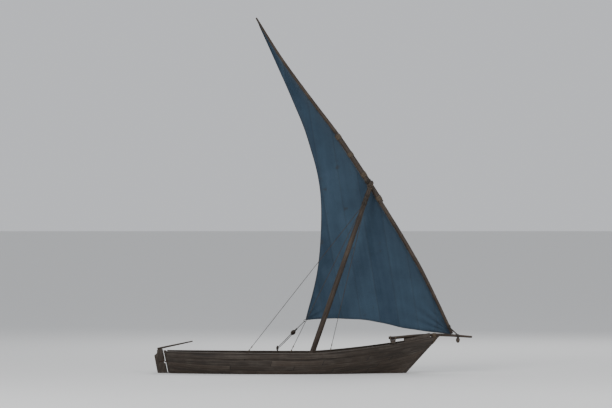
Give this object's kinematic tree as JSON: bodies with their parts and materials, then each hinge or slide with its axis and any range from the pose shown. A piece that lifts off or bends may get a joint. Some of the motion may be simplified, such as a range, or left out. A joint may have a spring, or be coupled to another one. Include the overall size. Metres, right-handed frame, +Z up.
{
  "type": "dhow sailing boat",
  "caption": "Open plank-built dhow with a raked stem, transom stern, hung rudder, forward-raked mast and a lateen sail laced to a long lashed yard.",
  "frame": {"origin": "on the centreline at the waterline, amidships", "axes": "+X towards the bow, +Y to port, +Z up"},
  "size_m": [8.9391, 2.3302, 10.5154],
  "materials": {
    "hull_timber": "oiled and tarred, weathered",
    "deck_timber": "bare, worn",
    "spar_timber": "oiled pole",
    "rope": "coir rope",
    "iron": "rusty forged iron",
    "sailcloth": "weathered canvas"
  },
  "bodies": {
    "hull": {"keel": "hull_timber", "stem_post": "hull_timber", "stern_post": "hull_timber", "stern_deadwood": "hull_timber", "planking_aft_bottom_starboard": "hull_timber", "planking_aft_side_starboard": "hull_timber", "planking_fore_bottom_starboard": "hull_timber", "planking_fore_side_starboard": "hull_timber", "planking_aft_bottom_port": "hull_timber", "planking_aft_side_port": "hull_timber", "planking_fore_bottom_port": "hull_timber", "planking_fore_side_port": "hull_timber", "wale_starboard": "hull_timber", "wale_port": "hull_timber", "riser_aft_starboard": "hull_timber", "riser_middle_starboard": "hull_timber", "riser_fore_starboard": "hull_timber", "riser_aft_port": "hull_timber", "riser_middle_port": "hull_timber", "riser_fore_port": "hull_timber", "inwale_starboard": "hull_timber", "inwale_port": "hull_timber", "rail_starboard": "hull_timber", "rail_port": "hull_timber", "frames_and_keelson": "hull_timber", "transom": "hull_timber", "bottom_boards": "deck_timber", "mast_step": "hull_timber", "stern_bench": "deck_timber", "aft_thwart": "deck_timber", "stroke_thwart": "deck_timber", "middle_thwart": "deck_timber", "mast_beam": "deck_timber", "fore_thwart": "deck_timber", "fore_deck": "deck_timber", "mooring_beam": "hull_timber", "washboard_starboard": "hull_timber", "washboard_port": "hull_timber", "bowsprit": "spar_timber", "mast": "spar_timber", "shroud_fore": "rope", "shroud_aft": "rope", "halyard_fall": "rope", "gudgeon_lower": "iron", "gudgeon_upper": "iron"},
    "rudder": {"rudder_blade": "hull_timber", "pintle_lower": "iron", "pintle_upper": "iron", "tiller": "spar_timber"},
    "rig": {"yard_lower": "spar_timber", "yard_upper": "spar_timber", "parrel": "rope", "sail": "sailcloth"}
  },
  "joints": [
    {"name": "rudder_hinge", "type": "hinge", "parent": "hull", "child": "rudder", "pos_m": [-3.744, 0, 0], "axis": [-0.208, 0, 0.9781], "range_deg": [-40, 40]},
    {"name": "yard_swing", "type": "hinge", "parent": "hull", "child": "rig", "pos_m": [0.0703, 0, -0.162], "axis": [-0.3296, 0, -0.9441], "range_deg": [0, 40]}
  ]
}
